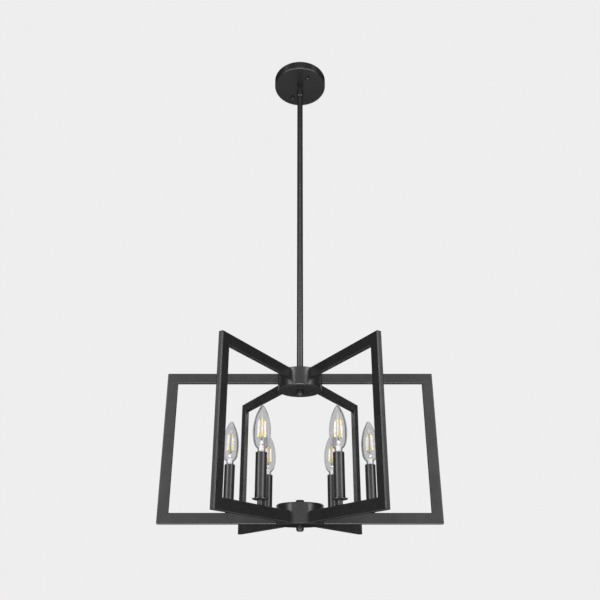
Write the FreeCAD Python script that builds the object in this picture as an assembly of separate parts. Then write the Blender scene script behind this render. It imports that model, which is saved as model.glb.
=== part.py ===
import FreeCAD, Part
import math
import os
from FreeCAD import Vector

# A black metal chandelier that hangs on a rigid stem. Six upright rectangular frames of flat
# tube stand round two drum hubs like the spokes of a wheel, and each lower arm carries one
# candle with a screw-in bulb. A ball swivel under the ceiling canopy lets the stem hang
# plumb. All lengths are in millimetres. The origin is the centre of the mounting plate's
# upper face, on the ceiling. +Z is up and X runs through the two canopy studs.

# ---------------------------------------------------------------- driving dimensions
# ceiling plate, screwed to the outlet box
plate_radius = 52.0
plate_thickness = 2.0
plate_wire_hole_radius = 13.0
box_screw_spacing = 79.0
box_slot_length = 15.0
box_slot_width = 5.0
ground_screw_place = 26.0
ground_screw_radius = 2.0
ground_head_radius = 4.0
ground_head_height = 2.6
ground_head_crown = 1.0
ground_slot_width = 1.0
ground_slot_depth = 1.3

# canopy, its two studs and cap nuts
canopy_radius = 66.0
canopy_height = 22.0
canopy_wall = 1.0
canopy_edge_radius = 3.5
stud_circle_radius = 40.0
stud_radius = 2.0
stud_hole_clearance = 0.3
cap_nut_radius = 4.5
cap_nut_height = 8.0
cap_nut_skirt = 3.6
cap_nut_grip = 5.0
stud_tip_gap = 0.5

# ball swivel
swivel_shank_radius = 5.0
swivel_shank_length = 13.0
swivel_bore_radius = 2.3
shoulder_radius = 6.5
shoulder_height = 1.5
swivel_neck_radius = 3.6
ball_radius = 6.25
ball_drop = 13.2
ball_mouth_height = 3.2
swivel_cup_radius = 8.0
swivel_cup_length = 22.0
swivel_cup_taper = 2.8
ring_radius = 7.0
ring_seat_rise = 0.4
nut_across_flats = 17.0
nut_height = 5.0
nut_flange_radius = 10.5
nut_flange_height = 1.2

# stem
rod_radius = 7.0
rod_bore_radius = 5.0
upper_rod_length = 281.0
lower_rod_length = 474.0
coupling_length = 11.0
spigot_length = 12.0
pipe_bore_radius = 3.5
ring_groove = 0.6

# hubs
hub_radius = 47.5
hub_wall = 1.5
hub_floor = 1.8
hub_cup_height = 38.4
hub_edge_radius = 3.5
hub_inner_edge_radius = 2.0
hub_cover_thickness = 2.2
hub_cover_edge = 1.0
knob_radius = 7.75
knob_height = 11.5
knob_edge_radius = 4.5
knob_grip = 8.0
lock_nut_across_flats = 14.0
lock_nut_height = 8.5
lower_pipe_recess = 1.5

# frames
frame_count = 6
frame_radius = 285.0
frame_height = 314.0
tube_depth = 22.0
tube_width = 10.0
tube_wall = 1.2
tube_edge_radius = 1.8
tube_inner_edge_radius = 0.6
frame_corner_radius = 2.5
arm_insert = 7.0

# candles
candle_circle_radius = 144.0
candle_lift = 9.3
candle_shoulder_radius = 5.75
candle_pipe_radius = 4.9
candle_pipe_bore = 2.0
candle_foot_radius = 3.1
candle_foot_length = 4.0
cup_radius = 15.25
cup_floor_radius = 12.2
cup_thickness = 1.2
cup_rim_rise = 1.6
sleeve_radius = 10.75
sleeve_wall = 1.0
sleeve_length = 85.5
socket_radius = 8.6
socket_length = 31.0
socket_recess = 6.0
socket_thread_depth = 7.0

# bulbs
bulb_base_radius = 5.85
bulb_base_length = 17.0
bulb_base_rim = 6.6
bulb_rim_flare = 0.8
bulb_contact_radius = 2.4
bulb_contact_height = 2.2
bulb_contact_bulge = 0.6
bulb_throat_radius = 6.0
bulb_collar_rise = 3.0
bulb_collar_height = 2.5
bulb_neck_radius = 7.4
bulb_neck_length = 15.2
bulb_hip_inset = 1.6
bulb_hip_rise = 29.0
bulb_radius = 17.3
bulb_widest_rise = 48.8
bulb_length = 99.2
bulb_tip_radius = 4.0
bulb_tip_slope = 32.0
bulb_glass_wall = 0.9
bulb_seat_depth = 2.5
bulb_plug_fusion = 0.4
bulb_plug_radius = 4.7
bulb_plug_height = 20.6
bulb_mount_radius = 1.9
bulb_mount_height = 31.0
filament_count = 4
filament_foot_rise = 37.2
filament_length = 35.0
filament_foot_circle = 6.4
filament_head_circle = 4.6
filament_side = 1.5
lead_side = 0.7

# clearances
thread_clearance = 0.05
running_clearance = 0.08
notch_clearance = 0.15
bulb_clearance = 0.10
bulb_seat_gap = 0.3

# ---------------------------------------------------------------- places that follow
canopy_underside = -canopy_height
ball_height = canopy_underside - ball_drop
cup_top = ball_height + ball_mouth_height
upper_rod_top = cup_top - swivel_cup_length
upper_rod_bottom = upper_rod_top - upper_rod_length
lower_rod_top = upper_rod_bottom - coupling_length
hub_top = lower_rod_top - lower_rod_length
frame_top = hub_top - hub_cover_thickness
frame_bottom = frame_top - frame_height
frame_middle = frame_top - frame_height / 2.0
hub_floor_face = frame_top - hub_cup_height
arm_start = hub_radius - hub_wall - arm_insert
lower_arm_top = frame_bottom + tube_depth
candle_cup_seat = lower_arm_top + candle_lift
sleeve_foot = candle_cup_seat + cup_thickness
sleeve_top = sleeve_foot + sleeve_length
socket_top = sleeve_top - socket_recess
socket_foot = socket_top - socket_length
bulb_base_foot = socket_top - bulb_base_length + bulb_seat_gap
bulb_base_top = bulb_base_foot + bulb_base_length
bulb_glass_foot = bulb_base_top - bulb_seat_depth
bulb_collar_foot = bulb_glass_foot + bulb_collar_rise
bulb_neck_top = bulb_glass_foot + bulb_neck_length
bulb_hip = bulb_glass_foot + bulb_hip_rise
bulb_widest = bulb_glass_foot + bulb_widest_rise
bulb_tip = bulb_glass_foot + bulb_length

made = {}


# ---------------------------------------------------------------- shape helpers
def at(radius, height):
    """A point of a turned profile: distance from the axis and height."""
    return Vector(radius, 0, height)


def turned(points):
    """Spin a closed profile of straight edges round Z."""
    wire = Part.makePolygon(points + [points[0]])
    return Part.Face(wire).revolve(Vector(0, 0, 0), Vector(0, 0, 1), 360)


def turned_edges(edges):
    """Spin a closed profile of lines and arcs round Z."""
    wire = Part.Wire(edges)
    return Part.Face(wire).revolve(Vector(0, 0, 0), Vector(0, 0, 1), 360)


def line(start, end):
    return Part.LineSegment(start, end).toShape()


def arc(start, middle, end):
    return Part.Arc(start, middle, end).toShape()


def on_circle(centre, radius, degrees):
    """A profile point on a circle, with 0 degrees outwards and 90 degrees up."""
    turn = math.radians(degrees)
    return centre + Vector(radius * math.cos(turn), 0, radius * math.sin(turn))


def bar(radius, low, high, centre=(0, 0)):
    """A round bar or the cutter for a round hole, upright."""
    place = Vector(centre[0], centre[1], low)
    return Part.makeCylinder(radius, high - low, place)


def pipe(radius, bore, low, high):
    return bar(radius, low, high).cut(bar(bore, low - 1, high + 1))


def hexagon(across_flats, low, high):
    """An upright hexagonal bar."""
    corner = across_flats / math.sqrt(3)
    turns = [math.radians(60 * i) for i in range(7)]
    rim = [Vector(corner * math.cos(t), corner * math.sin(t), low) for t in turns]
    return Part.Face(Part.makePolygon(rim)).extrude(Vector(0, 0, high - low))


def chamfered_hexagon(across_flats, low, high):
    """A nut blank: a hexagonal bar whose corners are turned off at both ends."""
    corner = across_flats / math.sqrt(3)
    flat = across_flats / 2.0
    fall = (corner - flat) * math.tan(math.radians(30))
    turning = turned([at(0, low), at(flat, low), at(corner, low + fall),
                      at(corner, high - fall), at(flat, high), at(0, high)])
    return hexagon(across_flats, low, high).common(turning)


def about_axis(shape, index):
    """Turn a copy of a piece to its place in the ring of frames."""
    copy = shape.copy()
    copy.rotate(Vector(0, 0, 0), Vector(0, 0, 1), index * 360.0 / frame_count)
    return copy


def ring_of(shape):
    """One copy of a piece for each frame, as separate solids."""
    return Part.makeCompound([about_axis(shape, i) for i in range(frame_count)])


def mirrored(shape):
    """The same piece upside down, across the middle of the frames."""
    return shape.mirror(Vector(0, 0, frame_middle), Vector(0, 0, 1))


def save(name, shape):
    """Write one piece and keep its size for the printed list."""
    shape.exportStep("parts/" + name + ".step")
    made[name] = shape


# ---------------------------------------------------------------- ceiling plate
def box_slot_cutter(side):
    """A slot on the Y axis for one outlet box screw, with round ends."""
    half_run = (box_slot_length - box_slot_width) / 2.0
    centre = side * box_screw_spacing / 2.0
    low, high = -plate_thickness - 1, 1
    run = Part.makeBox(box_slot_width, 2 * half_run, high - low,
                       Vector(-box_slot_width / 2.0, centre - half_run, low))
    ends = [bar(box_slot_width / 2.0, low, high, (0, centre + s * half_run)) for s in (-1, 1)]
    return run.fuse(ends)


def mounting_plate():
    """A stamped round plate: wire hole, two box screw slots and three tapped holes."""
    low, high = -plate_thickness, 0
    plate = bar(plate_radius, low, high)
    cutters = [bar(plate_wire_hole_radius, low - 1, high + 1)]
    cutters += [box_slot_cutter(side) for side in (-1, 1)]
    for side in (-1, 1):
        place = (side * stud_circle_radius, 0)
        cutters.append(bar(stud_radius + thread_clearance, low - 1, high + 1, place))
    cutters.append(bar(ground_screw_radius + thread_clearance, low - 1, high + 1,
                       (ground_screw_place, 0)))
    return plate.cut(cutters)


def ground_screw():
    """A pan head screw for the earth lead, driven up into the plate."""
    head_top = -plate_thickness
    shank = bar(ground_screw_radius, head_top, 0)
    crown = ground_head_crown
    low = head_top - ground_head_height
    head = turned_edges([
        line(at(0, low), at(ground_head_radius - crown, low)),
        arc(at(ground_head_radius - crown, low),
            on_circle(at(ground_head_radius - crown, low + crown), crown, -45),
            at(ground_head_radius, low + crown)),
        line(at(ground_head_radius, low + crown), at(ground_head_radius, head_top)),
        line(at(ground_head_radius, head_top), at(0, head_top)),
        line(at(0, head_top), at(0, low))])
    slot = Part.makeBox(2 * ground_head_radius, ground_slot_width, ground_slot_depth,
                        Vector(-ground_head_radius, -ground_slot_width / 2.0, low))
    screw = head.cut(slot).fuse(shank).removeSplitter()
    screw.translate(Vector(ground_screw_place, 0, 0))
    return screw


# ---------------------------------------------------------------- canopy
def canopy():
    """A spun dish with a rounded lower edge, open towards the ceiling."""
    def dish(radius, low, edge):
        corner = at(radius - edge, low + edge)
        return turned_edges([
            line(at(0, low), at(radius - edge, low)),
            arc(at(radius - edge, low), on_circle(corner, edge, -45), at(radius, low + edge)),
            line(at(radius, low + edge), at(radius, 0)),
            line(at(radius, 0), at(0, 0)),
            line(at(0, 0), at(0, low))])
    low = canopy_underside
    shell = dish(canopy_radius, low, canopy_edge_radius)
    hollow = dish(canopy_radius - canopy_wall, low + canopy_wall, canopy_edge_radius - canopy_wall)
    cutters = [hollow, bar(swivel_shank_radius + running_clearance, low - 1, 0)]
    for side in (-1, 1):
        place = (side * stud_circle_radius, 0)
        cutters.append(bar(stud_radius + stud_hole_clearance, low - 1, 0, place))
    return shell.cut(cutters)


def canopy_stud(side):
    """A threaded stud that hangs from the plate and passes through the canopy."""
    low = canopy_underside - cap_nut_grip + stud_tip_gap
    return bar(stud_radius, low, 0, (side * stud_circle_radius, 0))


def canopy_cap_nut(side):
    """A round nut with a domed end, tight under the canopy."""
    top = canopy_underside
    low = top - cap_nut_height
    skirt = top - cap_nut_skirt
    dome_height = skirt - low
    dome_radius = (cap_nut_radius ** 2 + dome_height ** 2) / (2 * dome_height)
    centre = at(0, low + dome_radius)
    half_turn = math.degrees(math.asin(cap_nut_radius / dome_radius)) / 2.0
    nut = turned_edges([
        line(at(0, low), at(0, top)),
        line(at(0, top), at(cap_nut_radius, top)),
        line(at(cap_nut_radius, top), at(cap_nut_radius, skirt)),
        arc(at(cap_nut_radius, skirt), on_circle(centre, dome_radius, -90 + half_turn),
            at(0, low))])
    nut = nut.cut(bar(stud_radius + thread_clearance, top - cap_nut_grip, top + 1))
    nut.translate(Vector(side * stud_circle_radius, 0, 0))
    return nut


# ---------------------------------------------------------------- ball swivel
def ball_stud():
    """A hollow threaded shank, a shoulder under the canopy, a thin neck and the ball."""
    centre = at(0, ball_height)
    reach = math.sqrt(ball_radius ** 2 - swivel_bore_radius ** 2)
    neck_rise = math.sqrt(ball_radius ** 2 - swivel_neck_radius ** 2)
    foot = at(swivel_bore_radius, ball_height - reach)
    crown = at(swivel_neck_radius, ball_height + neck_rise)
    under = canopy_underside - shoulder_height
    top = canopy_underside + swivel_shank_length
    return turned_edges([
        arc(foot, on_circle(centre, ball_radius, 0), crown),
        line(crown, at(swivel_neck_radius, under)),
        line(at(swivel_neck_radius, under), at(shoulder_radius, under)),
        line(at(shoulder_radius, under), at(shoulder_radius, canopy_underside)),
        line(at(shoulder_radius, canopy_underside), at(swivel_shank_radius, canopy_underside)),
        line(at(swivel_shank_radius, canopy_underside), at(swivel_shank_radius, top)),
        line(at(swivel_shank_radius, top), at(swivel_bore_radius, top)),
        line(at(swivel_bore_radius, top), foot)])


def swivel_nut():
    """A flanged hexagonal nut inside the canopy."""
    low = canopy_underside + canopy_wall
    flange = bar(nut_flange_radius, low, low + nut_flange_height)
    body = chamfered_hexagon(nut_across_flats, low + nut_flange_height / 2.0, low + nut_height)
    hole = bar(swivel_shank_radius + thread_clearance, low - 1, low + nut_height + 1)
    return flange.fuse(body).cut(hole)


def ball_seat():
    """The space that the ball turns in."""
    return Part.makeSphere(ball_radius + running_clearance, Vector(0, 0, ball_height))


def swivel_ring():
    """The ring that closes the cup over the ball. Its bore is part of the ball's seat."""
    low = ball_height + ring_seat_rise
    return bar(ring_radius, low, cup_top).cut(ball_seat())


def swivel_cup():
    """A turned cup under the ball, with a wire bore and a spigot for the upper rod."""
    spigot_foot = upper_rod_top - spigot_length
    spigot = rod_bore_radius - thread_clearance
    body = turned([at(0, spigot_foot), at(spigot, spigot_foot), at(spigot, upper_rod_top),
                   at(rod_radius, upper_rod_top),
                   at(swivel_cup_radius, upper_rod_top + swivel_cup_taper),
                   at(swivel_cup_radius, cup_top), at(0, cup_top)])
    ring_pocket = bar(ring_radius, ball_height + ring_seat_rise, cup_top + 1)
    wire_way = bar(pipe_bore_radius, spigot_foot - 1, ball_height)
    return body.cut([ball_seat(), ring_pocket, wire_way])


# ---------------------------------------------------------------- stem
def rod(low, high):
    """A stem tube with both ends chamfered, so that each joint shows a fine ring."""
    return turned([at(rod_bore_radius, low), at(rod_radius - ring_groove, low),
                   at(rod_radius, low + ring_groove), at(rod_radius, high - ring_groove),
                   at(rod_radius - ring_groove, high), at(rod_bore_radius, high)])


def rod_coupling():
    """A turned joint: a ring as wide as the rods, between two threaded spigots."""
    spigot = rod_bore_radius - thread_clearance
    low, high = lower_rod_top, upper_rod_bottom
    return turned([at(pipe_bore_radius, low - spigot_length), at(spigot, low - spigot_length),
                   at(spigot, low), at(rod_radius - ring_groove, low),
                   at(rod_radius, low + ring_groove), at(rod_radius, high - ring_groove),
                   at(rod_radius - ring_groove, high), at(spigot, high),
                   at(spigot, high + spigot_length), at(pipe_bore_radius, high + spigot_length)])


# ---------------------------------------------------------------- hubs
def hub_cup():
    """A drawn drum, open at the top, with a notch in its wall for each arm."""
    def drum(radius, low, edge, high):
        corner = at(radius - edge, low + edge)
        return turned_edges([
            line(at(0, low), at(radius - edge, low)),
            arc(at(radius - edge, low), on_circle(corner, edge, -45), at(radius, low + edge)),
            line(at(radius, low + edge), at(radius, high)),
            line(at(radius, high), at(0, high)),
            line(at(0, high), at(0, low))])
    low = hub_floor_face
    shell = drum(hub_radius, low, hub_edge_radius, frame_top)
    hollow = drum(hub_radius - hub_wall, low + hub_floor, hub_inner_edge_radius, frame_top + 1)
    notch_low = frame_top - tube_depth - notch_clearance
    notch = Part.makeBox(hub_wall + arm_insert, tube_width + 2 * notch_clearance,
                         tube_depth + notch_clearance + 1,
                         Vector(arm_start, -tube_width / 2.0 - notch_clearance, notch_low))
    notches = [about_axis(notch, i) for i in range(frame_count)]
    return shell.cut([hollow, bar(rod_bore_radius, low - 1, frame_top)] + notches)


def hub_cover():
    """A flat round cover that lies on the drum's rim and clamps the six arms."""
    low, high = frame_top, hub_top
    edge = hub_cover_edge
    corner = at(hub_radius - edge, high - edge)
    disc = turned_edges([
        line(at(0, low), at(hub_radius, low)),
        line(at(hub_radius, low), at(hub_radius, high - edge)),
        arc(at(hub_radius, high - edge), on_circle(corner, edge, 45), at(hub_radius - edge, high)),
        line(at(hub_radius - edge, high), at(0, high)),
        line(at(0, high), at(0, low))])
    return disc.cut(bar(rod_bore_radius, low - 1, high + 1))


def hub_knob(top):
    """A turned knob on the end of a hub's pipe, with a well rounded lower edge."""
    low = top - knob_height
    edge = knob_edge_radius
    corner = at(knob_radius - edge, low + edge)
    knob = turned_edges([
        line(at(0, low), at(knob_radius - edge, low)),
        arc(at(knob_radius - edge, low), on_circle(corner, edge, -45), at(knob_radius, low + edge)),
        line(at(knob_radius, low + edge), at(knob_radius, top)),
        line(at(knob_radius, top), at(0, top)),
        line(at(0, top), at(0, low))])
    return knob.cut(bar(rod_bore_radius, top - knob_grip, top + 1))


def hub_pipe(low, high):
    """A hollow threaded pipe through a hub."""
    return pipe(rod_bore_radius - thread_clearance, pipe_bore_radius, low, high)


# ---------------------------------------------------------------- frames
def rounded_section(depth, width, edge):
    """A rectangle with round corners, across the X axis, centred on it."""
    half_depth, half_width = depth / 2.0, width / 2.0
    slant = edge * (1 - math.cos(math.radians(45)))
    edges = []
    for a, b in ((1, 1), (1, -1), (-1, -1), (-1, 1)):
        along_width = Vector(0, a * (half_width - edge), b * half_depth)
        middle = Vector(0, a * (half_width - slant), b * (half_depth - slant))
        along_depth = Vector(0, a * half_width, b * (half_depth - edge))
        corner = [along_width, middle, along_depth]
        if a != b:
            corner.reverse()
        edges.append(corner)
    loop = []
    for i, corner in enumerate(edges):
        loop.append(arc(*corner))
        loop.append(line(corner[2], edges[(i + 1) % 4][0]))
    return Part.Face(Part.Wire(loop))


def straight_tube(length):
    """Flat tube along X, with its deeper side upright."""
    outside = rounded_section(tube_depth, tube_width, tube_edge_radius)
    inside = rounded_section(tube_depth - 2 * tube_wall, tube_width - 2 * tube_wall,
                             tube_inner_edge_radius)
    return outside.cut(inside).extrude(Vector(length, 0, 0))


def mitre_block(corners, round_corner):
    """The region of the frame's plane that one tube may fill, as a thick slab."""
    first, arc_middle, arc_end = round_corner
    outline = [arc(first, arc_middle, arc_end)]
    path = [arc_end] + corners + [first]
    outline += [line(path[i], path[i + 1]) for i in range(len(path) - 1)]
    slab = Part.Face(Part.Wire(outline)).extrude(Vector(0, 2 * tube_width, 0))
    slab.translate(Vector(0, -tube_width, 0))
    return slab


def upper_corner_arc(from_degrees, to_degrees):
    """Part of the rounding at the frame's upper outer corner."""
    centre = at(frame_radius - frame_corner_radius, frame_top - frame_corner_radius)
    middle = (from_degrees + to_degrees) / 2.0
    return [on_circle(centre, frame_corner_radius, d) for d in (from_degrees, middle, to_degrees)]


def upper_arm():
    """The top tube of a frame, mitred at its outer end."""
    tube = straight_tube(frame_radius - arm_start)
    tube.translate(Vector(arm_start, 0, frame_top - tube_depth / 2.0))
    corners = [at(frame_radius - tube_depth, frame_top - tube_depth),
               at(arm_start, frame_top - tube_depth), at(arm_start, frame_top)]
    return tube.common(mitre_block(corners, upper_corner_arc(90, 45)))


def lower_arm():
    """The bottom tube, the upper one mirrored, with a hole for the candle's foot."""
    hole = bar(candle_foot_radius + thread_clearance, lower_arm_top - 2 * tube_wall,
               lower_arm_top + 1, (candle_circle_radius, 0))
    return mirrored(upper_arm()).cut(hole)


def post():
    """The upright tube of a frame, mitred at both ends."""
    tube = straight_tube(frame_height)
    tube.rotate(Vector(0, 0, 0), Vector(0, 1, 0), 90)
    tube.translate(Vector(frame_radius - tube_depth / 2.0, 0, frame_top))
    middle = frame_middle
    corners = [at(frame_radius, middle), at(frame_radius - tube_depth, middle),
               at(frame_radius - tube_depth, frame_top - tube_depth)]
    upper_half = mitre_block(corners, list(reversed(upper_corner_arc(0, 45))))
    return tube.common(upper_half.fuse(mirrored(upper_half))).removeSplitter()


# ---------------------------------------------------------------- candles
def to_candle(shape):
    """Move a piece from the axis to the candle's place on the first frame."""
    shape.translate(Vector(candle_circle_radius, 0, 0))
    return shape


def candle_stem():
    """A turned stem: foot in the arm, shoulder under the cup, thread up to the socket."""
    low = lower_arm_top - candle_foot_length
    top = socket_foot + socket_thread_depth
    thin, thick, bore = candle_pipe_radius, candle_shoulder_radius, candle_pipe_bore
    return to_candle(turned([
        at(bore, low), at(candle_foot_radius, low), at(candle_foot_radius, lower_arm_top),
        at(thick, lower_arm_top), at(thick, candle_cup_seat), at(thin, candle_cup_seat),
        at(thin, top), at(bore, top)]))


def candle_cup():
    """A shallow dish under the sleeve, with an upturned rim."""
    low, high = candle_cup_seat, candle_cup_seat + cup_thickness
    hole = candle_pipe_radius + thread_clearance
    return to_candle(turned([
        at(hole, low), at(cup_floor_radius, low), at(cup_radius, low + cup_rim_rise),
        at(cup_radius, high + cup_rim_rise), at(cup_floor_radius, high), at(hole, high)]))


def candle_sleeve():
    """A thin tube that stands in the cup and hides the socket."""
    bore = sleeve_radius - sleeve_wall
    edge = sleeve_wall / 2.0
    top = sleeve_top
    return to_candle(turned_edges([
        line(at(bore, sleeve_foot), at(sleeve_radius, sleeve_foot)),
        line(at(sleeve_radius, sleeve_foot), at(sleeve_radius, top - edge)),
        arc(at(sleeve_radius, top - edge), at(sleeve_radius - edge, top), at(bore, top - edge)),
        line(at(bore, top - edge), at(bore, sleeve_foot))]))


def lamp_socket():
    """A moulded lamp socket with a threaded well, screwed on the candle's pipe."""
    body = bar(socket_radius, socket_foot, socket_top)
    well = bar(bulb_base_radius + bulb_clearance, bulb_base_foot - bulb_seat_gap,
               socket_top + 1)
    mouth_foot = bulb_glass_foot - bulb_rim_flare - bulb_seat_gap
    mouth = bar(bulb_base_rim + bulb_clearance, mouth_foot, socket_top + 1)
    thread = bar(candle_pipe_radius + thread_clearance, socket_foot - 1,
                 socket_foot + socket_thread_depth)
    return to_candle(body.cut([well, mouth, thread]))


# ---------------------------------------------------------------- bulbs
def bulb_base():
    """The screw cap: a cup for the glass, a plain thread barrel and the end contact."""
    low = bulb_base_foot + bulb_contact_height
    rim_foot = bulb_glass_foot
    shell = turned([
        at(0, bulb_base_foot), at(bulb_contact_radius, bulb_base_foot),
        at(bulb_contact_radius + bulb_contact_bulge, bulb_base_foot + bulb_contact_height / 2.0),
        at(bulb_base_radius, low), at(bulb_base_radius, rim_foot - bulb_rim_flare),
        at(bulb_base_rim, rim_foot), at(bulb_base_rim, bulb_base_top),
        at(bulb_throat_radius + thread_clearance, bulb_base_top),
        at(bulb_throat_radius + thread_clearance, rim_foot), at(0, rim_foot)])
    return to_candle(shell)


def arc_centre(start, inwards, end):
    """The centre and radius of an arc that leaves start square to a direction and meets end."""
    reach = end - start
    bend = reach.dot(reach) / (2 * reach.dot(inwards))
    return start + inwards * bend, bend


def bulb_body(inset):
    """The flame-shaped bulb, or the space inside it when inset by the glass wall."""
    def angle(centre, point):
        return math.degrees(math.atan2(point.z - centre.z, point.x - centre.x))

    # the outside: the belly turns in at the hip to meet the neck, and the flank meets the tip
    widest, hip = at(bulb_radius, bulb_widest), at(bulb_radius - bulb_hip_inset, bulb_hip)
    neck_top = at(bulb_neck_radius, bulb_neck_top)
    slope = math.radians(bulb_tip_slope)
    tip_join = at(bulb_tip_radius * math.cos(slope),
                  bulb_tip - bulb_tip_radius * (1 - math.sin(slope)))
    belly_centre, belly_bend = arc_centre(widest, Vector(-1, 0, 0), hip)
    hip_centre, hip_bend = arc_centre(hip, (belly_centre - hip) / belly_bend, neck_top)
    flank_centre, flank_bend = arc_centre(widest, Vector(-1, 0, 0), tip_join)
    belly_turn, flank_turn = angle(belly_centre, hip), angle(flank_centre, tip_join)

    # every line and arc of it moved inwards
    throat, neck = bulb_throat_radius - inset, bulb_neck_radius - inset
    belly_bend, hip_bend, flank_bend = belly_bend - inset, hip_bend - inset, flank_bend - inset
    neck_end = at(neck, hip_centre.z - math.sqrt(hip_bend ** 2 - (neck - hip_centre.x) ** 2))
    hip_end = on_circle(belly_centre, belly_bend, belly_turn)
    widest = on_circle(belly_centre, belly_bend, 0)
    shoulder = on_circle(flank_centre, flank_bend, flank_turn)
    hip_turn = (angle(hip_centre, neck_end) + angle(hip_centre, hip_end)) / 2.0
    tip = at(0, bulb_tip - inset)
    rise = tip.z - shoulder.z
    nose_radius = (shoulder.x ** 2 + rise ** 2) / (2 * rise)
    nose_centre = at(0, tip.z - nose_radius)
    nose_turn = (angle(nose_centre, shoulder) + 90) / 2.0
    collar_foot = at(throat, bulb_collar_foot)
    collar_top = at(neck, bulb_collar_foot + bulb_collar_height)
    return turned_edges([
        line(at(0, bulb_glass_foot), at(throat, bulb_glass_foot)),
        line(at(throat, bulb_glass_foot), collar_foot),
        line(collar_foot, collar_top),
        line(collar_top, neck_end),
        arc(neck_end, on_circle(hip_centre, hip_bend, hip_turn), hip_end),
        arc(hip_end, on_circle(belly_centre, belly_bend, belly_turn / 2.0), widest),
        arc(widest, on_circle(flank_centre, flank_bend, flank_turn / 2.0), shoulder),
        arc(shoulder, on_circle(nose_centre, nose_radius, nose_turn), tip),
        line(tip, at(0, bulb_glass_foot))])


def bulb_glass():
    """The clear envelope, with a plug fused in its foot and a thin mount on the plug."""
    hollow = bulb_body(bulb_glass_wall)
    foot, fused_top = bulb_glass_foot, bulb_collar_foot
    plug_top, mount_top = foot + bulb_plug_height, foot + bulb_mount_height
    fused_radius = bulb_throat_radius - bulb_glass_wall + bulb_plug_fusion
    mount = turned([at(0, foot), at(fused_radius, foot), at(fused_radius, fused_top),
                    at(bulb_plug_radius, fused_top), at(bulb_plug_radius, plug_top),
                    at(bulb_mount_radius, plug_top), at(bulb_mount_radius, mount_top),
                    at(0, mount_top)])
    return to_candle(bulb_body(0).cut(hollow.cut(mount)))


def strut(start, end, side):
    """A straight square bar from one point to another."""
    reach = end - start
    block = Part.makeBox(side, side, reach.Length, Vector(-side / 2.0, -side / 2.0, 0))
    block.Placement = FreeCAD.Placement(start, FreeCAD.Rotation(Vector(0, 0, 1), reach))
    return block


def bulb_filament():
    """Four light strips on lead wires, held up by one post on the glass mount."""
    foot = bulb_glass_foot + filament_foot_rise
    head = foot + filament_length
    mount_top = bulb_glass_foot + bulb_mount_height
    pieces = [strut(at(0, mount_top), at(0, head + lead_side), lead_side)]
    for i in range(filament_count):
        turn = Vector(math.cos(math.radians(45 + 90 * i)), math.sin(math.radians(45 + 90 * i)), 0)
        low_end = turn * filament_foot_circle + Vector(0, 0, foot)
        high_end = turn * filament_head_circle + Vector(0, 0, head)
        pieces.append(strut(low_end, high_end, filament_side))
        pieces.append(strut(Vector(0, 0, mount_top + lead_side), low_end, lead_side))
        pieces.append(strut(high_end, Vector(0, 0, head), lead_side))
    return to_candle(pieces[0].fuse(pieces[1:]))


# ---------------------------------------------------------------- the whole lamp
os.makedirs("parts", exist_ok=True)

save("mounting_plate", mounting_plate())
save("ground_screw", ground_screw())
save("canopy_studs", Part.makeCompound([canopy_stud(side) for side in (-1, 1)]))
save("canopy", canopy())
save("canopy_cap_nuts", Part.makeCompound([canopy_cap_nut(side) for side in (-1, 1)]))

save("swivel_ball_stud", ball_stud())
save("swivel_nut", swivel_nut())
save("swivel_ring", swivel_ring())
save("swivel_cup", swivel_cup())

save("upper_rod", rod(upper_rod_bottom, upper_rod_top))
save("rod_coupling", rod_coupling())
save("lower_rod", rod(hub_top, lower_rod_top))

cup, cover = hub_cup(), hub_cover()
save("upper_hub_cup", cup)
save("upper_hub_cover", cover)
save("lower_hub_cup", mirrored(cup))
save("lower_hub_cover", mirrored(cover))

lower_hub_face = 2 * frame_middle - hub_top
lower_floor_face = 2 * frame_middle - hub_floor_face
save("hub_knobs", Part.makeCompound([hub_knob(hub_floor_face), hub_knob(lower_hub_face)]))
lower_pipe_top = lower_floor_face + lock_nut_height - lower_pipe_recess
save("hub_pipes", Part.makeCompound([
    hub_pipe(hub_floor_face - knob_grip, hub_top + spigot_length),
    hub_pipe(lower_hub_face - knob_grip, lower_pipe_top)]))
lock_nut = chamfered_hexagon(lock_nut_across_flats, lower_floor_face,
                             lower_floor_face + lock_nut_height)
nut_hole = bar(rod_bore_radius, lower_floor_face - 1, lower_floor_face + lock_nut_height + 1)
save("lower_hub_nut", lock_nut.cut(nut_hole))

frame_tubes = {"upper_arm": upper_arm(), "post": post(), "lower_arm": lower_arm()}
for name, tube in frame_tubes.items():
    for i in range(frame_count):
        save(name + "_" + str(i + 1), about_axis(tube, i))

save("candle_stems", ring_of(candle_stem()))
save("candle_cups", ring_of(candle_cup()))
save("candle_sleeves", ring_of(candle_sleeve()))
save("lamp_sockets", ring_of(lamp_socket()))

bulb_pieces = {"base": bulb_base(), "glass": bulb_glass(), "filament": bulb_filament()}
for name, piece in bulb_pieces.items():
    for i in range(frame_count):
        save("bulb_" + str(i + 1) + "_" + name, about_axis(piece, i))

whole = Part.makeCompound(list(made.values())).BoundBox
faulty = [name for name, shape in made.items() if not shape.isValid()]
print("nodes", len(made), "solids", sum(len(shape.Solids) for shape in made.values()))
print("size", round(whole.XLength, 1), round(whole.YLength, 1), round(whole.ZLength, 1))
print("ball centre", round(ball_height, 2), "frames", round(frame_top, 2), round(frame_bottom, 2))
print("faulty", faulty)
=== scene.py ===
# %% [markdown]
# # A hanging chandelier of six black frames
#
# The real lamp is a black metal chandelier. Six upright rectangles of flat tube stand like
# spokes round two drum hubs, and the bottom of each one carries a candle with a clear,
# flame-shaped bulb. One stem holds everything under a round canopy on the ceiling.
#
# The metalwork is already measured and fixed in place, so this notebook starts by loading it.
# What is left is what the eye reads: the finishes, the blown glass, the threads, the light and
# the camera.

# %% Load the measured lamp
import math

import bmesh
import bpy
from mathutils import Matrix, Vector


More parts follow.
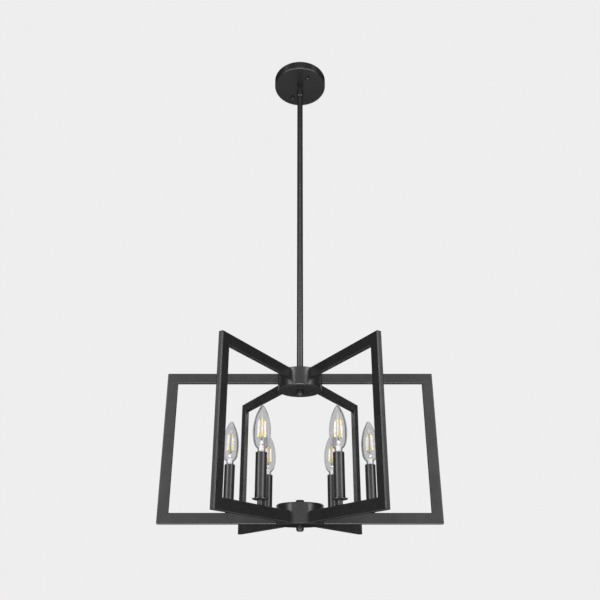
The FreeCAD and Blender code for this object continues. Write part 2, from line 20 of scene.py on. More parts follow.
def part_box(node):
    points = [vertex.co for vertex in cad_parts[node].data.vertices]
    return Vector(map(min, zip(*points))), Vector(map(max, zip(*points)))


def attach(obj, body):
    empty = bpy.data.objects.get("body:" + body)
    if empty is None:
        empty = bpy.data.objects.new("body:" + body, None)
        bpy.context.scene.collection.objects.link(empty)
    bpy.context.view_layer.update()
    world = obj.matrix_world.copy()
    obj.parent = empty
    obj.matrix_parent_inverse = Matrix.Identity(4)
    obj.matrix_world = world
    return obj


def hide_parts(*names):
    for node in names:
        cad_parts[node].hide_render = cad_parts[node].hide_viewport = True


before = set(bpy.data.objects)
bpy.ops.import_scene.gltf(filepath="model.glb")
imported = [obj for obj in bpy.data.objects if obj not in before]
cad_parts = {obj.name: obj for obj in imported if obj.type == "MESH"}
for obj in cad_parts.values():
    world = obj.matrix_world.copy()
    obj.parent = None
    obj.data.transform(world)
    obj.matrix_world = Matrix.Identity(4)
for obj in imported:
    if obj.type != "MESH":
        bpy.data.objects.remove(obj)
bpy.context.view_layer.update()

mm = 0.001
print("pieces loaded:", len(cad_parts))

# %% [markdown]
# ## Helpers for placing things
#
# Every lamp, card and new piece is made, linked to the scene, set somewhere round the stem and
# often turned to face something. Blender's operators could do this, but they work on whatever is
# selected. Small functions that name the thing they work on give the same scene every time.

# %% Make, place and turn
camera_bearing = math.radians(330)


def put_in_scene(name, data):
    """Make an object and link it to the scene."""
    thing = bpy.data.objects.new(name, data)
    bpy.context.scene.collection.objects.link(thing)
    return thing


def around(bearing, reach, height):
    """A place round the stem, with its bearing counted from the camera's."""
    turn = camera_bearing + math.radians(bearing)
    return (reach * math.cos(turn), reach * math.sin(turn), height)


def turn_to(thing, target, face):
    """Turn a thing so that its named face looks at a target."""
    thing.rotation_mode = "QUATERNION"
    thing.rotation_quaternion = (Vector(target) - thing.location).to_track_quat(face, "Y")


print("the camera stands at a bearing of", round(math.degrees(camera_bearing)), "degrees")

# %% [markdown]
# ## The camera
#
# The picture looks up at the lamp from a little below the frames, with two frames seen flat and
# square at the sides. A camera like this could be placed by eye. Here it was worked out from the
# lamp's known sizes instead: how far it stands from the stem, how far below the frames, and how
# much it is pitched up. A lens that is shifted up draws the uprights more nearly parallel. The
# shift is small, because every other view keeps it and a large one would cut the lamp off there.

# %% Place the camera
picture_side = 600
lens_in_pixels = 618.9
lens_axis_row = 342
sensor_width_mm = 36
camera_reach = 1.2735
camera_below_frames = 0.1184
camera_pitch = math.radians(21.74)
quarter_turn = math.radians(90)

frames_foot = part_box("lower_arm_1")[0].z
lens = bpy.data.cameras.new("camera")
lens.sensor_width = sensor_width_mm
lens.lens = sensor_width_mm * lens_in_pixels / picture_side
lens.shift_y = (lens_axis_row - picture_side / 2) / picture_side
camera = put_in_scene("camera", lens)
camera.location = around(0, camera_reach, frames_foot - camera_below_frames)
camera.rotation_euler = (quarter_turn + camera_pitch, 0, camera_bearing + quarter_turn)
bpy.context.scene.camera = camera
print("lens", round(lens.lens, 2), "mm at", [round(c, 3) for c in camera.location])

# %% [markdown]
# ## Helpers for node trees
#
# Every finish below is a small tree of shader nodes. Written out in full, each node takes four or
# five lines. These helpers make a node, set its options and fill its inputs in one call, with
# links as values too, so that a tree reads like a recipe.

# %% One node in one call
def feed(node, **inputs):
    """Fill inputs, named with _ for a space or as _ and a number, with values or with links."""
    for label, value in inputs.items():
        socket = node.inputs[int(label[1:]) if label[1:].isdigit() else label.replace("_", " ")]
        if isinstance(value, bpy.types.Node):
            value = value.outputs[0]
        if isinstance(value, bpy.types.NodeSocket):
            node.id_data.links.new(value, socket)
        else:
            socket.default_value = value


def add(tree, kind, options=None, **inputs):
    """Make a node, set its options and fill its inputs."""
    made = tree.nodes.new("ShaderNode" + kind)
    for option, value in (options or {}).items():
        setattr(made, option, value)
    feed(made, **inputs)
    return made


# %% The nodes that most finishes need
def where_on(tree):
    """The place on the surface, in metres."""
    return add(tree, "TexCoord").outputs["Object"]


def noise(tree, where, per_metre, detail=2.0):
    """A soft random pattern between 0 and 1."""
    return add(tree, "TexNoise", Vector=where, Scale=per_metre, Detail=detail)


def calc(tree, operation, first, second=0.0):
    """One step of arithmetic."""
    return add(tree, "Math", {"operation": operation}, _0=first, _1=second)


def remap(tree, value, given, wanted):
    """Carry a value from a given range to a wanted one, and stop at its ends."""
    return add(tree, "MapRange", Value=value, From_Min=given[0], From_Max=given[1],
               To_Min=wanted[0], To_Max=wanted[1])


def blend_colours(tree, share, first, second):
    """Blend two colours. In colour mode, they are inputs 6 and 7, and the result is output 2."""
    return add(tree, "Mix", {"data_type": "RGBA"}, Factor=share, _6=first, _7=second).outputs[2]


def mix_shaders(tree, share, first, second):
    """Show one shader, and the other one where the share is 1."""
    return add(tree, "MixShader", _0=share, _1=first, _2=second)


def empty_material(name):
    """A material whose node tree is still empty."""
    material = bpy.data.materials.new(name)
    material.use_nodes = True
    material.node_tree.nodes.clear()
    return material


# %% [markdown]
# ## Background and room light
#
# The lamp hangs in front of an even pale grey. One grey for everything would either wash out the
# black paint or leave the picture dark. The Light Path node tells the rays apart: rays that look
# at the background, straight, by reflection or through glass, see the pale grey, and rays that
# carry soft fill light get a gentler value.

# %% The world
white = (1, 1, 1, 1)
backdrop_grey = (0.855, 0.855, 0.855, 1)
fill_strength = 0.34


def seen_directly(tree):
    """1 for rays that look at a thing, mirror it or see it through glass; 0 for fill light."""
    path = add(tree, "LightPath").outputs
    mirrored = calc(tree, "MAXIMUM", path["Is Camera Ray"], path["Is Glossy Ray"])
    return calc(tree, "MAXIMUM", mirrored, path["Is Transmission Ray"])


world = bpy.data.worlds.new("studio")
world.use_nodes = True
bpy.context.scene.world = world
tree = world.node_tree
tree.nodes.clear()
fill = add(tree, "Background", Color=white, Strength=fill_strength)
backdrop = add(tree, "Background", Color=backdrop_grey, Strength=1.0)
add(tree, "OutputWorld", Surface=mix_shaders(tree, seen_directly(tree), fill, backdrop))
print("backdrop", backdrop_grey[0], "fill", fill_strength)

# %% [markdown]
# ## The floor
#
# A hanging lamp has its floor a room's height below the ceiling. The floor is plain and pale. Near
# the lamp it is lit paper that takes the lamp's shadow, and further out it melts into the
# backdrop's grey, so that no horizon line shows. Its edge could be bent up into a curved backdrop
# instead, but that would stand in the way of the views from below.

# %% Paper that fades into the backdrop
paper_near, paper_far = 1.5, 7.0
paper_tones = (0.80, 0.84)
paper_grain_per_metre = 6.0
shadow_share = 0.75

pale_floor = empty_material("pale_floor")
tree = pale_floor.node_tree
place = where_on(tree)
distance = add(tree, "VectorMath", {"operation": "LENGTH"}, _0=place).outputs["Value"]
fade = remap(tree, distance, (paper_near, paper_far), (1 - shadow_share, 1))
seen_fade = calc(tree, "MULTIPLY", fade, seen_directly(tree))
paper_tone = remap(tree, noise(tree, place, paper_grain_per_metre, 3.0), (0, 1), paper_tones)
paper = add(tree, "BsdfDiffuse", Color=paper_tone)
glow = add(tree, "Emission", Color=backdrop_grey, Strength=1.0)
add(tree, "OutputMaterial", Surface=mix_shaders(tree, seen_fade, paper, glow))
print("the paper fades out between", paper_near, "and", paper_far, "m")

# %% Lay the floor
room_height = 2.5
floor_half = 15.0


def flat_sheet(name, half_width, half_height, rows, material):
    """A flat sheet round its own centre."""
    work = bmesh.new()
    bmesh.ops.create_grid(work, x_segments=rows, y_segments=rows, size=1)
    bmesh.ops.scale(work, vec=(half_width, half_height, 1), verts=work.verts)
    mesh = bpy.data.meshes.new(name)
    work.to_mesh(mesh)
    work.free()
    mesh.materials.append(material)
    return put_in_scene(name, mesh)


floor = flat_sheet("floor", floor_half, floor_half, 8, pale_floor)
floor.location.z = -room_height
print("floor at", -room_height, "m")

# %% [markdown]
# ## Studio lamps
#
# Satin black is dark by itself, and its form is read from what it mirrors. Two tall softboxes
# stand left and right of the camera: on a round tube each one draws an upright band of light, and
# the space between them leaves the darker middle. A low, wide one in front lights the rounded
# lower edges of the canopy and the hubs, and a grid on it keeps its light off the floor. A small
# one above the camera draws the light line down the middle of the rods. Two weaker ones behind
# keep the back readable. Point lamps would draw hard dots in place of the soft bands.

# %% Six softboxes
candle_height = frames_foot + 0.3
no_grid, with_grid = math.radians(180), math.radians(84)

# Name, bearing from the camera, reach, height, (width, height), watts and spread.
softboxes = [
    ("softbox_left", -42, 2.2, -0.35, (1.0, 1.3), 25, no_grid),
    ("softbox_right", 42, 2.2, -0.35, (1.0, 1.3), 25, no_grid),
    ("softbox_low", 0, 1.5, -2.0, (1.8, 0.9), 12, with_grid),
    ("softbox_above", 0, 1.7, 0.62, (0.9, 0.9), 8, no_grid),
    ("softbox_back_left", -150, 2.4, -0.5, (1.2, 1.4), 5, no_grid),
    ("softbox_back_right", 150, 2.4, -0.5, (1.2, 1.4), 5, no_grid)]
for name, bearing, reach, height, size, watts, spread in softboxes:
    light = bpy.data.lights.new(name, "AREA")
    light.shape = "RECTANGLE"
    light.size, light.size_y = size
    light.energy = watts
    light.spread = spread
    softbox = put_in_scene(name, light)
    softbox.location = around(bearing, reach, height)
    turn_to(softbox, (0, 0, candle_height), "-Z")
    softbox.visible_camera = False
    softbox.visible_transmission = False

bpy.context.scene.view_settings.view_transform = "Standard"
print("lamps:", len(softboxes))

# %% [markdown]
# ## Dark cards
#
# Beside a bright backdrop, black paint goes grey wherever it is seen at a low angle. A studio
# keeps it black with dark felt cards that stand outside the picture: a tall one to the left, one
# to the right, one above the softboxes and a low strip behind the lamp, which the undersides of
# the hubs and arms mirror. Here they only show in reflections. The bare backdrop between them
# still shows in the metal and the glass.

# %% Felt
felt_tones = (0.02, 0.035)
felt_fibres_per_metre = 40.0

felt = empty_material("grey_felt")
tree = felt.node_tree
fibre = noise(tree, where_on(tree), felt_fibres_per_metre, 3.0)
felt_surface = add(tree, "BsdfDiffuse", Color=remap(tree, fibre, (0, 1), felt_tones))
add(tree, "OutputMaterial", Surface=felt_surface)
print("felt tones", felt_tones)

# %% Four felt cards
# Name, half its width, half its height, its place, and the point that it faces.
felt_cards = [
    ("card_left", 2.4, 3.1, around(-112, 2.6, 0.6), (0, 0, 0.6)),
    ("card_right", 2.4, 3.1, around(112, 2.6, 0.6), (0, 0, 0.6)),
    ("card_above", 2.6, 1.3, around(0, 2.0, 1.5), (0, 0, -0.3)),
    ("card_low", 2.4, 0.42, around(180, 2.2, -1.52), (0, 0, -1.2))]
for name, half_width, half_height, place, facing in felt_cards:
    felt_card = flat_sheet(name, half_width, half_height, 4, felt)
    felt_card.location = place
    turn_to(felt_card, facing, "Z")
    felt_card.visible_camera = False
    felt_card.visible_diffuse = False
    felt_card.visible_transmission = False
    felt_card.visible_shadow = False
print("cards:", len(felt_cards))

# %% [markdown]
# ## Finish: satin black powder coat
#
# Canopy, stem, hubs, frames and dishes are steel with a baked powder coat. Powder melts into a
# skin with a fine orange-peel surface, never a mirror. A flat black would look like a hole, so the
# colour is a very dark grey that drifts a little, the roughness drifts with it, and the peel is a
# bump of about a millimetre across. Seen at a slant, the bumps of the peel hide behind each other
# and the skin mirrors less than smooth paint would, so a Layer Weight node takes the reflection
# down there. That keeps the rims of the tubes dark.

# %% Shared recipe for a coated or plated surface
plain_specular = 0.5
drift_values = (0.3, 0.7)
slant_values = (0.45, 0.80)


def shader_of(finish):
    """The shader that gives a finish its colour and gloss."""
    return finish.node_tree.nodes["Principled BSDF"]


def coat(name, tones, roughness, grain_size, grain_height, drift_size=30 * mm, metallic=0.0,
         dark_at_slant=False):
    """A finish whose tone and roughness drift slowly, under a fine grain in the surface."""
    finish = bpy.data.materials.new(name)
    finish.use_nodes = True
    tree = finish.node_tree
    where = where_on(tree)
    drift = noise(tree, where, 1 / drift_size, 4.0)
    tone = blend_colours(tree, drift, (*tones[0], 1), (*tones[1], 1))
    grain = noise(tree, where, 1 / grain_size)
    relief = add(tree, "Bump", Height=grain, Distance=grain_height, Strength=1.0)
    feed(shader_of(finish), Metallic=metallic, Specular_IOR_Level=plain_specular,
         Base_Color=tone, Roughness=remap(tree, drift, drift_values, roughness), Normal=relief)
    if dark_at_slant:
        slant = add(tree, "LayerWeight", Blend=0.5).outputs["Facing"]
        fall = remap(tree, slant, slant_values, (plain_specular, 0))
        feed(shader_of(finish), Specular_IOR_Level=fall)
    print("finish", name)
    return finish


# %% Black powder
powder_black = coat("satin_black_powder", [(0.011, 0.011, 0.0115), (0.0165, 0.0165, 0.017)],
                    (0.25, 0.31), grain_size=0.9 * mm, grain_height=0.009 * mm,
                    dark_at_slant=True)

# %% [markdown]
# ## Finish: black enamel of the candle sleeves
#
# The sleeves are thin tubes with a painted enamel. They could share the frames' powder, but two
# blacks side by side on a real lamp never match. The enamel is a little darker and less glossy,
# and its skin waves in wider steps, so it gets tones and a grain of its own.

# %% Sleeve enamel
sleeve_enamel = coat("semi_gloss_black_enamel", [(0.010, 0.010, 0.0105), (0.016, 0.016, 0.0165)],
                     (0.27, 0.33), grain_size=1.2 * mm, grain_height=0.015 * mm,
                     dark_at_slant=True)

# %% [markdown]
# ## Finishes of the hidden metal and plastic
#
# The ceiling plate, its studs, the swivel's nut and the threaded pipes are zinc plated. The earth
# screw is dyed green, as the rules for fittings ask. The lamp sockets are moulded in a dark resin.
# The bulbs' screw caps are nickel plated and end in a black glass ring and a drop of solder. All
# of these are the same recipe with other tones, which costs less than a tree for each.

# %% Zinc, green screw and resin
zinc = coat("bright_zinc", [(0.50, 0.51, 0.52), (0.62, 0.62, 0.60)], (0.26, 0.42),
            grain_size=0.6 * mm, grain_height=0.006 * mm, drift_size=12 * mm, metallic=1.0)
green_zinc = coat("green_earth_screw", [(0.03, 0.22, 0.06), (0.05, 0.30, 0.10)], (0.28, 0.4),
                  grain_size=0.8 * mm, grain_height=0.008 * mm, metallic=0.6)
resin = coat("dark_moulded_resin", [(0.022, 0.018, 0.016), (0.035, 0.03, 0.027)], (0.42, 0.55),
             grain_size=0.7 * mm, grain_height=0.02 * mm)

# %% Nickel, solder and black glass
nickel = coat("nickel_cap", [(0.72, 0.70, 0.66), (0.80, 0.79, 0.76)], (0.16, 0.28),
              grain_size=0.9 * mm, grain_height=0.008 * mm, drift_size=10 * mm, metallic=1.0)
solder = coat("solder_point", [(0.50, 0.50, 0.51), (0.62, 0.62, 0.62)], (0.3, 0.45),
              grain_size=0.5 * mm, grain_height=0.03 * mm, drift_size=2 * mm, metallic=1.0)
black_glass = coat("black_insulator", [(0.01, 0.009, 0.012), (0.02, 0.018, 0.022)],
                   (0.08, 0.16), grain_size=2.0 * mm, grain_height=0.02 * mm)

# %% [markdown]
# ## Finish: blown glass
#
# The bulbs are clear, and in the picture they read as a light grey veil against the backdrop. A
# half-transparent grey would give the veil, but it would neither bend the view nor mirror the
# lamps. Here the glass transmits light, and its tint takes a little away at each wall. Blown glass
# is never quite even, so a long slow ripple bends the reflections.

# %% Clear glass
glass = coat("clear_blown_glass", [(0.75, 0.75, 0.76), (0.79, 0.79, 0.80)], (0.0, 0.02),
             grain_size=20 * mm, grain_height=0.04 * mm)
clear = shader_of(glass)
feed(clear, Transmission_Weight=1.0, IOR=1.5)
print("glass bends light by", clear.inputs["IOR"].default_value)

# %% [markdown]
# ## The painted dark outline of the bulbs
#
# Where the wall is seen edge on, the light crosses far more glass and hardly any comes through,
# which draws the thin dark outline of every bulb. A thick wall would do this by itself, but it
# would also bend the view of the strips too strongly. So the wall stays thin, and a Layer Weight
# node mixes a painted dark shade into its edge. The real wall is thicker where the bulb was drawn
# in to its neck, and the painted outline is made wider there.

# %% Paint a dark shade on the edge
glass_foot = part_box("bulb_1_glass")[0].z
drawn_in = (glass_foot + 16 * mm, glass_foot + 24 * mm)
neck_outline, belly_outline = (0.22, 0.60), (0.62, 0.95)
outline_strength = 0.65
painted_edge_shade_tones = (0.06, 0.10)
painted_edge_shade_per_metre = 60.0

tree = glass.node_tree
in_glass = where_on(tree)
level = add(tree, "SeparateXYZ", Vector=in_glass).outputs["Z"]
outline_start = remap(tree, level, drawn_in, (neck_outline[0], belly_outline[0]))
outline_full = remap(tree, level, drawn_in, (neck_outline[1], belly_outline[1]))
edge_on = add(tree, "LayerWeight", Blend=0.5).outputs["Facing"]
edge_share = remap(tree, edge_on, (outline_start, outline_full), (0, outline_strength))
# A painted dark shade for the glass edge, in an uneven near-black grey.
painted_edge_shade = remap(tree, noise(tree, in_glass, painted_edge_shade_per_metre), (0, 1), painted_edge_shade_tones)
painted_dark_edge = add(tree, "BsdfDiffuse", Color=painted_edge_shade)
outlined = mix_shaders(tree, edge_share, clear, painted_dark_edge)
print("the outline narrows between", [round((z - glass_foot) / mm) for z in drawn_in], "mm up")

# %% [markdown]
# ## Light through the glass
#
# Thin clear glass throws hardly any shadow. A path tracer would need many rays to find that out,
# so shadow rays pass the wall with the same small loss, and the parts inside are lit.

# %% Let shadow rays through
wall_tint = clear.inputs["Base Color"].links[0].from_socket
light_through = add(tree, "BsdfTransparent", Color=wall_tint)
shadow_ray = add(tree, "LightPath").outputs["Is Shadow Ray"]
feed(tree.nodes["Material Output"],
     Surface=mix_shaders(tree, shadow_ray, outlined, light_through))
print("nodes in the glass:", len(tree.nodes))

# %% [markdown]
# ## Finish: the bulb's inner parts
#
# A white ceramic plug closes the neck and carries a milky glass stem; the plug gets a faint
# painted glow. The four light strips are coated with phosphor. They glow a little, and this glow
# is painted
# into the finish: cream along the middle, where the chips sit close, and yellow at both ends,
# where only the coating shows. The middle's base colour is painted a lit cream as well. A lamp in
# each strip would be far too strong for so weak a glow, so it sits in the finish. The wires are
# dull iron, dark beside them.

# %% Ceramic, milk glass and wire
ceramic_painted_glow = coat("white_ceramic_painted_glow", [(0.80, 0.79, 0.76), (0.88, 0.87, 0.85)], (0.25, 0.4),
               grain_size=1.0 * mm, grain_height=0.01 * mm)
# The plug's finish also gets a faint painted glow, so that it reads whiter.
feed(shader_of(ceramic_painted_glow), Emission_Color=(1.0, 0.98, 0.93, 1), Emission_Strength=0.08)
milk_glass = coat("milky_stem_glass", [(0.86, 0.86, 0.84), (0.92, 0.92, 0.90)], (0.08, 0.2),
                  grain_size=4.0 * mm, grain_height=0.03 * mm)
feed(shader_of(milk_glass), Transmission_Weight=0.45)
lead_iron = coat("dull_lead_wire", [(0.10, 0.095, 0.09), (0.20, 0.19, 0.18)], (0.35, 0.5),
                 grain_size=0.5 * mm, grain_height=0.006 * mm, drift_size=4 * mm, metallic=1.0)

# %% Phosphor that glows
post_rise = 0.7 * mm
strip_length = 35.0 * mm
strip_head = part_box("bulb_1_filament")[1].z - post_rise
strip_foot = strip_head - strip_length
chips_middle = strip_foot + 0.57 * strip_length
chips_fade = (8 * mm, 13 * mm)
painted_lit_cream = (0.78, 0.70, 0.58, 1)
cream_shine, yellow_shine = (0.90, 0.75, 0.60, 1), (0.36, 0.29, 0.08, 1)

phosphor = coat("yellow_phosphor", [(0.80, 0.66, 0.26), (0.88, 0.76, 0.36)], (0.5, 0.65),
                grain_size=0.6 * mm, grain_height=0.04 * mm, drift_size=2 * mm)
tree = phosphor.node_tree
height = add(tree, "SeparateXYZ", Vector=where_on(tree)).outputs["Z"]
to_middle = calc(tree, "ABSOLUTE", calc(tree, "SUBTRACT", height, chips_middle))
at_end = remap(tree, to_middle, chips_fade, (0, 1))
coating = shader_of(phosphor).inputs["Base Color"].links[0].from_socket
# The middle's base colour is a painted lit cream beside the coating's yellow ends, and the glow is
# painted too.
feed(shader_of(phosphor), Base_Color=blend_colours(tree, at_end, painted_lit_cream, coating),
     Emission_Color=blend_colours(tree, at_end, cream_shine, yellow_shine),
     Emission_Strength=0.18)
print("the glow's middle is", round((chips_middle - strip_foot) / mm, 2), "mm up the strips")

# %% [markdown]
# ## Dress the measured parts
#
# The measured parts keep their shapes and only get their finish. They could be dressed one by one,
# by name, but that list would be long. Their record gives each of them a slot that says what it is
# coated with, so a short table from slots to finishes is enough.

# %% Give every measured part its finish
finish_of_slot = {"black_paint": powder_black, "sleeve_black": sleeve_enamel, "zinc_steel": zinc,
                  "green_screw": green_zinc, "phenolic": resin, "bulb_cap": nickel,
                  "bulb_glass": glass, "filament": phosphor}
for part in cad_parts.values():
    for slot in part.material_slots:
        slot.material = finish_of_slot[slot.material.name.split(".")[0]]
print("dressed", len(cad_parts), "parts")

# %% [markdown]
# ## Turned shapes
#
# Bulbs, caps, threads and stems are all round. Blender's Screw modifier would spin a profile, but
# it can't make a thread whose radius changes as it goes round. So the profile is spun by hand: a
# ring of points for each profile point, where a radius may also be a rule that depends on the
# turn. Corners of a profile can be eased, because no real edge is perfectly sharp.

# %% Ease the corners of a profile
def eased(profile, steps=4):
    """Profile corners given as (radius, height, easing) become short curves."""
    smooth = []
    for i, corner in enumerate(profile):
        if len(corner) == 2:
            smooth.append(corner)
            continue
        here = Vector(corner[:2])
        before = Vector(profile[i - 1][:2]) - here
        after = Vector(profile[(i + 1) % len(profile)][:2]) - here
        start = here + before.normalized() * corner[2]
        end = here + after.normalized() * corner[2]
        for step in range(steps + 1):
            t = step / steps
            point = start * (1 - t) ** 2 + here * 2 * t * (1 - t) + end * t * t
            smooth.append((point.x, point.y))
    return smooth


print("one eased corner has", len(eased([(0, 0), (1, 0, 0.1), (1, 1)])) - 2, "points")

# %% Finish a shape
sharp_angle = math.radians(38)


def to_mesh(shape, name):
    """Turn a worked shape into a mesh: outward normals, soft shading, crisp real edges."""
    bmesh.ops.recalc_face_normals(shape, faces=shape.faces)
    for face in shape.faces:
        face.smooth = True
    for edge in shape.edges:
        if len(edge.link_faces) == 2:
            edge.smooth = edge.calc_face_angle() < sharp_angle
    mesh = bpy.data.meshes.new(name)
    shape.to_mesh(mesh)
    shape.free()
    return mesh


print("edges stay crisp from", round(math.degrees(sharp_angle)), "degrees up")

# %% Spin a profile
on_the_axis = 1e-7


def spun(name, profile, steps, closed=True):
    """Spin (radius, height) points round Z. A radius may be a rule of the angle."""
    shape = bmesh.new()
    turns = [2 * math.pi * k / steps for k in range(steps)]
    rings = []
    for radius, height in profile:
        if not callable(radius) and radius < on_the_axis:
            rings.append([shape.verts.new((0, 0, height))] * steps)
            continue
        ring = []
        for turn in turns:
            reach = radius(turn) if callable(radius) else radius
            ring.append(shape.verts.new((reach * math.cos(turn), reach * math.sin(turn), height)))
        rings.append(ring)
    pairs = list(zip(rings, rings[1:]))
    if closed:
        pairs.append((rings[-1], rings[0]))
    for low, high in pairs:
        for k in range(steps):
            after = (k + 1) % steps
            corners = list(dict.fromkeys([low[k], low[after], high[after], high[k]]))
            if len(corners) > 2:
                shape.faces.new(corners)
    return to_mesh(shape, name)


washer = spun("washer", [(1, 0), (2, 0), (2, 1), (1, 1)], steps=16)
print("a plain washer has", len(washer.polygons), "faces")
bpy.data.meshes.remove(washer)

# %% [markdown]
# ## Put pieces in place
#
# A new piece needs three facts: its finish, the moving body that it rides on, and which measured
# part it stands for. Six candles stand in a ring, so one mesh is copied and turned to each place.
# Linked copies would save memory, but a piece with its own mesh can be written out on its own.

# %% Place one piece, or six in a ring
candle_count = 6
base_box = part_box("bulb_1_base")
candle_circle = (base_box[0].x + base_box[1].x) / 2


def piece(name, mesh, finish, body, slot, *nodes):
    """Show a mesh as one piece of the lamp."""
    mesh.materials.clear()
    mesh.materials.append(finish)
    thing = put_in_scene(name, mesh)
    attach(thing, body)
    if nodes:
        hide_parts(*nodes)
    return thing


def at_candle(number):
    """The place of a candle, numbered from 1, for a mesh made round the Z axis."""
    turn = Matrix.Rotation(2 * math.pi * (number - 1) / candle_count, 4, "Z")
    return turn @ Matrix.Translation((candle_circle, 0, 0))


def in_bulbs(part_name, mesh, finish, slot, node=None):
    """Copy a mesh into each of the six bulbs, and return the copies."""
    copies = []
    for number in range(1, candle_count + 1):
        bulb = "bulb_" + str(number)
        copy = mesh.copy()
        copy.transform(at_candle(number))
        nodes = [bulb + "_" + node] if node else []
        copies.append(piece(bulb + "_" + part_name, copy, finish, bulb, slot, *nodes))
    print(part_name, len(mesh.polygons), "faces, six times")
    return copies


print("candles:", candle_count, "on a circle of radius", round(candle_circle / mm, 1), "mm")

# %% [markdown]
# ## The bulb's envelope
#
# The envelope is one blown wall: a neck, a belly that turns in quickly towards it, and a long
# shoulder that ends in a small rounded tip. Its line is drawn with arcs. Each one starts where the
# last one stops, square to a known direction, and a start, that direction and an end point fix an
# arc. A curve with handles could do this too, but then its bends have to be found by eye.

# %% Arcs for a blown line
def arc_points(start, inwards, end, steps=12):
    """An arc between (radius, height) points that leaves start square to a direction."""
    reach = end - start
    bend = reach.dot(reach) / (2 * reach.dot(inwards))
    centre = start + inwards * bend
    first = math.atan2(start.y - centre.y, start.x - centre.x)
    last = math.atan2(end.y - centre.y, end.x - centre.x)
    turns = [first + (last - first) * step / steps for step in range(steps + 1)]
    points = [(centre.x + bend * math.cos(turn), centre.y + bend * math.sin(turn))
              for turn in turns]
    return points, (centre - end).normalized()


quarter, _ = arc_points(Vector((1, 0)), Vector((-1, 0)), Vector((0, 1)))
print("halfway round a quarter arc:", [round(c, 3) for c in quarter[6]])

# %% Sizes of the blown shape
glass_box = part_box("bulb_1_glass")
glass_tip = glass_box[1].z
belly_radius = (glass_box[1].y - glass_box[0].y) / 2
throat_radius, neck_radius = 6.0 * mm, 7.4 * mm
collar_foot, collar_top = glass_foot + 3.0 * mm, glass_foot + 5.5 * mm
neck_top = Vector((neck_radius, glass_foot + 15.2 * mm))
neck_easing = 1.0 * mm
hip = Vector((belly_radius - 1.6 * mm, glass_foot + 29.0 * mm))
belly = Vector((belly_radius, glass_foot + 48.8 * mm))
tip_radius = 4.0 * mm
tip_slope = math.radians(32)
print("the belly is", round(2 * belly_radius / mm, 1), "mm wide")

# %% Draw the blown line
tip_steps = 6
to_the_stem = Vector((-1, 0))

tip_join = Vector((tip_radius * math.cos(tip_slope),
                   glass_tip - tip_radius * (1 - math.sin(tip_slope))))
lower_belly, at_hip = arc_points(belly, to_the_stem, hip)
turned_in, _ = arc_points(hip, at_hip, neck_top)
shoulder, _ = arc_points(belly, to_the_stem, tip_join, steps=24)
blown_line = eased([(throat_radius, glass_foot), (throat_radius, collar_foot),
                    (neck_radius, collar_top), (*neck_top, neck_easing), turned_in[-2]])
blown_line += turned_in[-3::-1] + lower_belly[-2::-1] + shoulder[1:]
for step in range(1, tip_steps + 1):
    turn = tip_slope + (math.pi / 2 - tip_slope) * step / tip_steps
    reach = tip_radius * math.cos(turn) if step < tip_steps else 0
    blown_line.append((reach, glass_tip - tip_radius * (1 - math.sin(turn))))
print("the blown line has", len(blown_line), "points")

# %% [markdown]
# ## The glass wall
#
# The wall could be drawn as two skins, outer and inner. One skin with a Solidify modifier is
# simpler, and its thickness is then a single number.

# %% Blow the glass
glass_wall = 0.6 * mm
grows_inwards = -1

envelope = spun("envelope", blown_line, steps=72, closed=False)
for bulb in in_bulbs("envelope", envelope, glass, "bulb_glass", "glass"):
    wall = bulb.modifiers.new("wall", "SOLIDIFY")
    wall.thickness = glass_wall
    wall.offset = grows_inwards

# %% [markdown]
# ## The plug and the stem inside the bulb
#
# A white plug fills the neck and shows above the sleeve. Out of it rises a glass stem, flared at
# its foot and thin at the top, where the wires go through. Both could be stacked cylinders. A spun
# profile gives the flare and the rounded edges that catch the light.

# %% Ceramic plug
plug_radius = 4.7 * mm
plug_foot, plug_top = glass_foot + 0.4 * mm, glass_foot + 20.5 * mm
plug = spun("plug", eased([(0, plug_foot), (plug_radius, plug_foot, 0.3 * mm),
                           (plug_radius, plug_top, 0.8 * mm), (0, plug_top)]), steps=48)
in_bulbs("plug", plug, ceramic_painted_glow, "bulb_glass")

# %% Milky stem
flare_radius, stem_radius = 3.4 * mm, 1.9 * mm
stem_foot, flare_top = plug_top + 0.1 * mm, plug_top + 3.5 * mm
stem_top = glass_foot + 31.0 * mm
stem = spun("stem", eased([(0, stem_foot), (flare_radius, stem_foot, 0.4 * mm),
                           (stem_radius, flare_top, 2 * mm), (stem_radius, stem_top, 0.9 * mm),
                           (0, stem_top)]), steps=48)
in_bulbs("stem", stem, milk_glass, "bulb_glass")

# %% [markdown]
# ## Light strips and lead wires
#
# Four thin rods coated with phosphor lean inwards from a wide foot to a narrower head. Thin wires
# join their feet to the stem and their heads to a post on top of the stem. The wires could be
# curves with a bevel. A rod here is a spun shape tipped along its own line instead, so that one
# helper makes both strips and wires.

# %% Rods between two points
rod_steps = 14
dome_share = 0.8


def add_rod(shape, start, end, radius):
    """Add a round rod with domed ends to a shape."""
    length = (end - start).length
    dome = dome_share * min(radius, length / 3)
    profile = eased([(0, 0), (radius, 0, dome), (radius, length, dome), (0, length)])
    rod = spun("rod", profile, rod_steps)
    tipped = (end - start).to_track_quat("Z", "Y").to_matrix().to_4x4()
    rod.transform(Matrix.Translation(start) @ tipped)
    shape.from_mesh(rod)
    bpy.data.meshes.remove(rod)


# %% Four strips and their wires
strip_count = 4
first_strip = 45
foot_circle, head_circle = 6.4 * mm, 4.6 * mm
strip_radius, lead_radius, post_radius = 1.5 * mm, 0.32 * mm, 0.45 * mm
wire_in_stem = 0.5 * mm


def strip_ends(index):
    """The foot and head of one light strip."""
    turn = math.radians(first_strip + 360 * index / strip_count)
    side = Vector((math.cos(turn), math.sin(turn), 0))
    return (side * foot_circle + Vector((0, 0, strip_foot)),
            side * head_circle + Vector((0, 0, strip_head)))


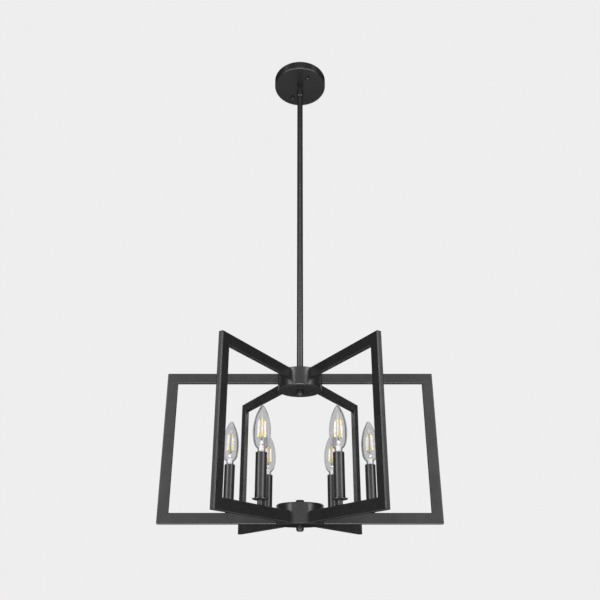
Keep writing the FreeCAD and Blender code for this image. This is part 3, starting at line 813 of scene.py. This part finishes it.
strips, leads = bmesh.new(), bmesh.new()
stem_end = Vector((0, 0, stem_top - wire_in_stem))
post_end = Vector((0, 0, strip_head + post_rise))
wires_meet = post_end - Vector((0, 0, post_rise))
add_rod(leads, stem_end, post_end, post_radius)
for index in range(strip_count):
    foot, head = strip_ends(index)
    add_rod(strips, foot, head, strip_radius)
    add_rod(leads, stem_end, foot, lead_radius)
    add_rod(leads, head, wires_meet, lead_radius)
in_bulbs("light_strips", to_mesh(strips, "strips"), phosphor, "filament", "filament")
in_bulbs("lead_wires", to_mesh(leads, "leads"), lead_iron, "filament")

# %% [markdown]
# ## The screw cap
#
# The cap is thin nickel-plated sheet rolled into a round-crested thread. A picture of ridges in a
# bump map would look flat at its edges, so the thread is real: its radius follows a wave that
# climbs one pitch per turn, and the wave dies out at both ends, as the rolling does.

# %% Rows of a thread
thread_crest, thread_depth, thread_pitch = 5.85 * mm, 0.75 * mm, 2.54 * mm


def thread_rows(low, high, rows_per_turn=10):
    """Rows of a climbing round thread, as radius rules and heights."""
    rows = []
    count = int((high - low) / thread_pitch * rows_per_turn)
    for row in range(count + 1):
        height = low + (high - low) * row / count
        fade = min(1.0, (height - low) / thread_pitch, (high - height) / thread_pitch)

        def radius(turn, height=height, fade=fade):
            wave = math.cos(2 * math.pi * height / thread_pitch - turn)
            return thread_crest - thread_depth * (1 - wave * fade) / 2
        rows.append((radius, height))
    return rows


print("thread: pitch", thread_pitch / mm, "mm, depth", thread_depth / mm, "mm")

# %% Roll the cap
cap_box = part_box("bulb_1_base")
cap_foot, cap_top = cap_box[0].z, cap_box[1].z
cap_rim = (cap_box[1].y - cap_box[0].y) / 2
cap_inside = cap_rim - 0.25 * mm
barrel_foot, barrel_top = cap_foot + 2.6 * mm, glass_foot - 0.9 * mm
thread_foot = barrel_foot + 0.2 * mm
rim_foot, cap_floor = glass_foot + 0.2 * mm, glass_foot - 0.1 * mm

cap_profile = [(0, barrel_foot), (thread_crest - thread_depth, barrel_foot)]
cap_profile += thread_rows(thread_foot, barrel_top)
cap_profile += eased([(cap_rim, rim_foot, 0.3 * mm), (cap_rim, cap_top, 0.2 * mm),
                      (cap_inside, cap_top, 0.1 * mm)])
cap_profile += [(cap_inside, cap_floor), (0, cap_floor)]
in_bulbs("screw_cap", spun("cap", cap_profile, steps=64), nickel, "bulb_cap", "base")

# %% [markdown]
# ## The end of the cap
#
# Under the barrel sit a black glass ring, which keeps the two contacts apart, and a drop of
# solder. They hide in the socket until the bulb is taken out. Both are small turned shapes, so the
# same spun profile serves.

# %% Glass ring and solder
ring_wide, ring_narrow = 4.9 * mm, 2.6 * mm
ring_top, ring_foot = barrel_foot - 0.05 * mm, cap_foot + 0.7 * mm
ring = eased([(0, ring_top), (ring_wide, ring_top, 0.3 * mm), (ring_narrow, ring_foot, 0.3 * mm),
              (0, ring_foot)])
in_bulbs("insulator", spun("insulator", ring, steps=48), black_glass, "phenolic")

drop_wide, drop_narrow = 2.2 * mm, 1.5 * mm
drop_top = cap_foot + 0.75 * mm
drop = eased([(0, drop_top), (drop_wide, drop_top, 0.2 * mm), (drop_narrow, cap_foot, 0.7 * mm),
              (0, cap_foot)])
in_bulbs("contact", spun("contact", drop, steps=32), solder, "bulb_cap")
